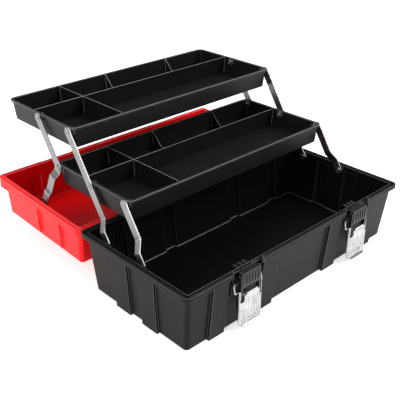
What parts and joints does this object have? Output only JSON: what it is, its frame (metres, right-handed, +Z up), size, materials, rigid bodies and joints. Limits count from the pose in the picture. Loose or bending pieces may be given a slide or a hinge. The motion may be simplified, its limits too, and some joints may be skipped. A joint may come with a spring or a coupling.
{
  "type": "toolbox",
  "caption": "Cantilever toolbox with a black tub, red hinged lid, divided trays that rise on steel straps as the lid opens, and draw latches.",
  "frame": {"origin": "middle of the base's underside, on the surface that the box stands on", "axes": "+X to the right end as seen from the latch side, -Y the latch side, +Y the hinge side where the open lid hangs, +Z up"},
  "size_m": [0.44, 0.4435, 0.2225],
  "materials": {
    "black_plastic": "moulded black plastic with a fine texture and a soft sheen",
    "red_plastic": "smooth moulded bright red plastic, satin inside",
    "latch_plastic": "moulded black plastic, slightly glossier than the tub",
    "nickel_plate": "nickel-plated pressed steel, bright",
    "steel_wire": "plain steel wire and pins",
    "zinc_steel": "zinc-plated steel strap, dull with bright edges"
  },
  "bodies": {
    "base": {"base_tub": "black_plastic", "base_rivets": "zinc_steel", "latch_bracket_left": "latch_plastic", "latch_bracket_right": "latch_plastic"},
    "hinge_pins": {"hinge_pin_left": "steel_wire", "hinge_pin_right": "steel_wire"},
    "lid": {"lid_shell": "red_plastic", "lid_ear_left": "zinc_steel", "lid_ear_right": "zinc_steel", "ear_pins": "zinc_steel", "handle_pins": "steel_wire"},
    "middle_arms": {"middle_arm_left": "zinc_steel", "middle_arm_right": "zinc_steel"},
    "front_arms": {"front_arm_left": "zinc_steel", "front_arm_right": "zinc_steel"},
    "lower_tray": {"lower_tray": "black_plastic", "lower_tray_rivets": "zinc_steel"},
    "rear_arms": {"rear_arm_left": "zinc_steel", "rear_arm_right": "zinc_steel"},
    "upper_tray": {"upper_tray": "black_plastic", "upper_tray_rivets": "zinc_steel"},
    "lid_links": {"lid_link_left": "zinc_steel", "lid_link_right": "zinc_steel", "link_pin_left": "zinc_steel", "link_pin_right": "zinc_steel"},
    "carry_handle": {"carry_handle": "latch_plastic"},
    "latch_wire_left": {"latch_wire_left": "steel_wire"},
    "latch_lever_left": {"latch_lever_left": "nickel_plate", "hook_pin_left": "steel_wire"},
    "latch_hook_left": {"latch_hook_left": "latch_plastic"},
    "latch_wire_right": {"latch_wire_right": "steel_wire"},
    "latch_lever_right": {"latch_lever_right": "nickel_plate", "hook_pin_right": "steel_wire"},
    "latch_hook_right": {"latch_hook_right": "latch_plastic"}
  },
  "joints": [
    {"name": "lid_last_close", "type": "hinge", "parent": "base", "child": "hinge_pins", "pos_m": [0, 0.109, 0.091], "axis": [1, 0, 0], "range_deg": [0, 24]},
    {"name": "lid_hinge", "type": "hinge", "parent": "hinge_pins", "child": "lid", "pos_m": [0, 0.109, 0.091], "axis": [1, 0, 0], "range_deg": [0, 154]},
    {"name": "middle_arm_pivot", "type": "hinge", "parent": "base", "child": "middle_arms", "pos_m": [0, 0.0655, 0.0843], "axis": [1, 0, 0], "range_deg": [0, 99.81]},
    {"name": "front_arm_pivot", "type": "hinge", "parent": "base", "child": "front_arms", "pos_m": [0, -0.008, 0.0843], "axis": [1, 0, 0], "range_deg": [0, 99.81]},
    {"name": "lower_tray_pivot", "type": "hinge", "parent": "middle_arms", "child": "lower_tray", "pos_m": [0, 0.10907, 0.15139], "axis": [1, 0, 0], "range_deg": [-99.81, 0]},
    {"name": "rear_arm_pivot", "type": "hinge", "parent": "lower_tray", "child": "rear_arms", "pos_m": [0, 0.18257, 0.15139], "axis": [1, 0, 0], "range_deg": [0, 99.81]},
    {"name": "upper_tray_pivot", "type": "hinge", "parent": "middle_arms", "child": "upper_tray", "pos_m": [0, 0.15101, 0.21597], "axis": [1, 0, 0], "range_deg": [-99.81, 0]},
    {"name": "lid_link_pivot", "type": "hinge", "parent": "lower_tray", "child": "lid_links", "pos_m": [0, 0.18257, 0.15139], "axis": [1, 0, 0], "range_deg": [-90.89, 0]},
    {"name": "handle_hinge", "type": "hinge", "parent": "lid", "child": "carry_handle", "pos_m": [0, 0.22039, 0.02435], "axis": [1, 0, 0], "range_deg": [0, 90]},
    {"name": "latch_wire_left", "type": "hinge", "parent": "base", "child": "latch_wire_left", "pos_m": [-0.115, -0.1052, 0.072], "axis": [-1, 0, 0], "range_deg": [0, 11.02]},
    {"name": "latch_lever_left", "type": "hinge", "parent": "latch_wire_left", "child": "latch_lever_left", "pos_m": [-0.115, -0.1077, 0.06], "axis": [-1, 0, 0], "range_deg": [0, 110]},
    {"name": "latch_hook_left", "type": "hinge", "parent": "latch_lever_left", "child": "latch_hook_left", "pos_m": [-0.115, -0.1097, 0.0545], "axis": [-1, 0, 0], "range_deg": [-121.02, 0]},
    {"name": "latch_wire_right", "type": "hinge", "parent": "base", "child": "latch_wire_right", "pos_m": [0.115, -0.1052, 0.072], "axis": [-1, 0, 0], "range_deg": [0, 11.02]},
    {"name": "latch_lever_right", "type": "hinge", "parent": "latch_wire_right", "child": "latch_lever_right", "pos_m": [0.115, -0.1077, 0.06], "axis": [-1, 0, 0], "range_deg": [0, 110]},
    {"name": "latch_hook_right", "type": "hinge", "parent": "latch_lever_right", "child": "latch_hook_right", "pos_m": [0.115, -0.1097, 0.0545], "axis": [-1, 0, 0], "range_deg": [-121.02, 0]}
  ],
  "couplings": [
    {"joint": "middle_arm_pivot", "follows": "lid_hinge", "ratio": 0.64797},
    {"joint": "front_arm_pivot", "follows": "lid_hinge", "ratio": 0.64797},
    {"joint": "lower_tray_pivot", "follows": "lid_hinge", "ratio": -0.64797},
    {"joint": "rear_arm_pivot", "follows": "lid_hinge", "ratio": 0.64797},
    {"joint": "upper_tray_pivot", "follows": "lid_hinge", "ratio": -0.64797},
    {"joint": "lid_link_pivot", "follows": "lid_hinge", "ratio": -0.59004},
    {"joint": "latch_wire_left", "follows": "latch_lever_left", "ratio": 0.1},
    {"joint": "latch_hook_left", "follows": "latch_lever_left", "ratio": -1.1},
    {"joint": "latch_wire_right", "follows": "latch_lever_right", "ratio": 0.1},
    {"joint": "latch_hook_right", "follows": "latch_lever_right", "ratio": -1.1}
  ]
}
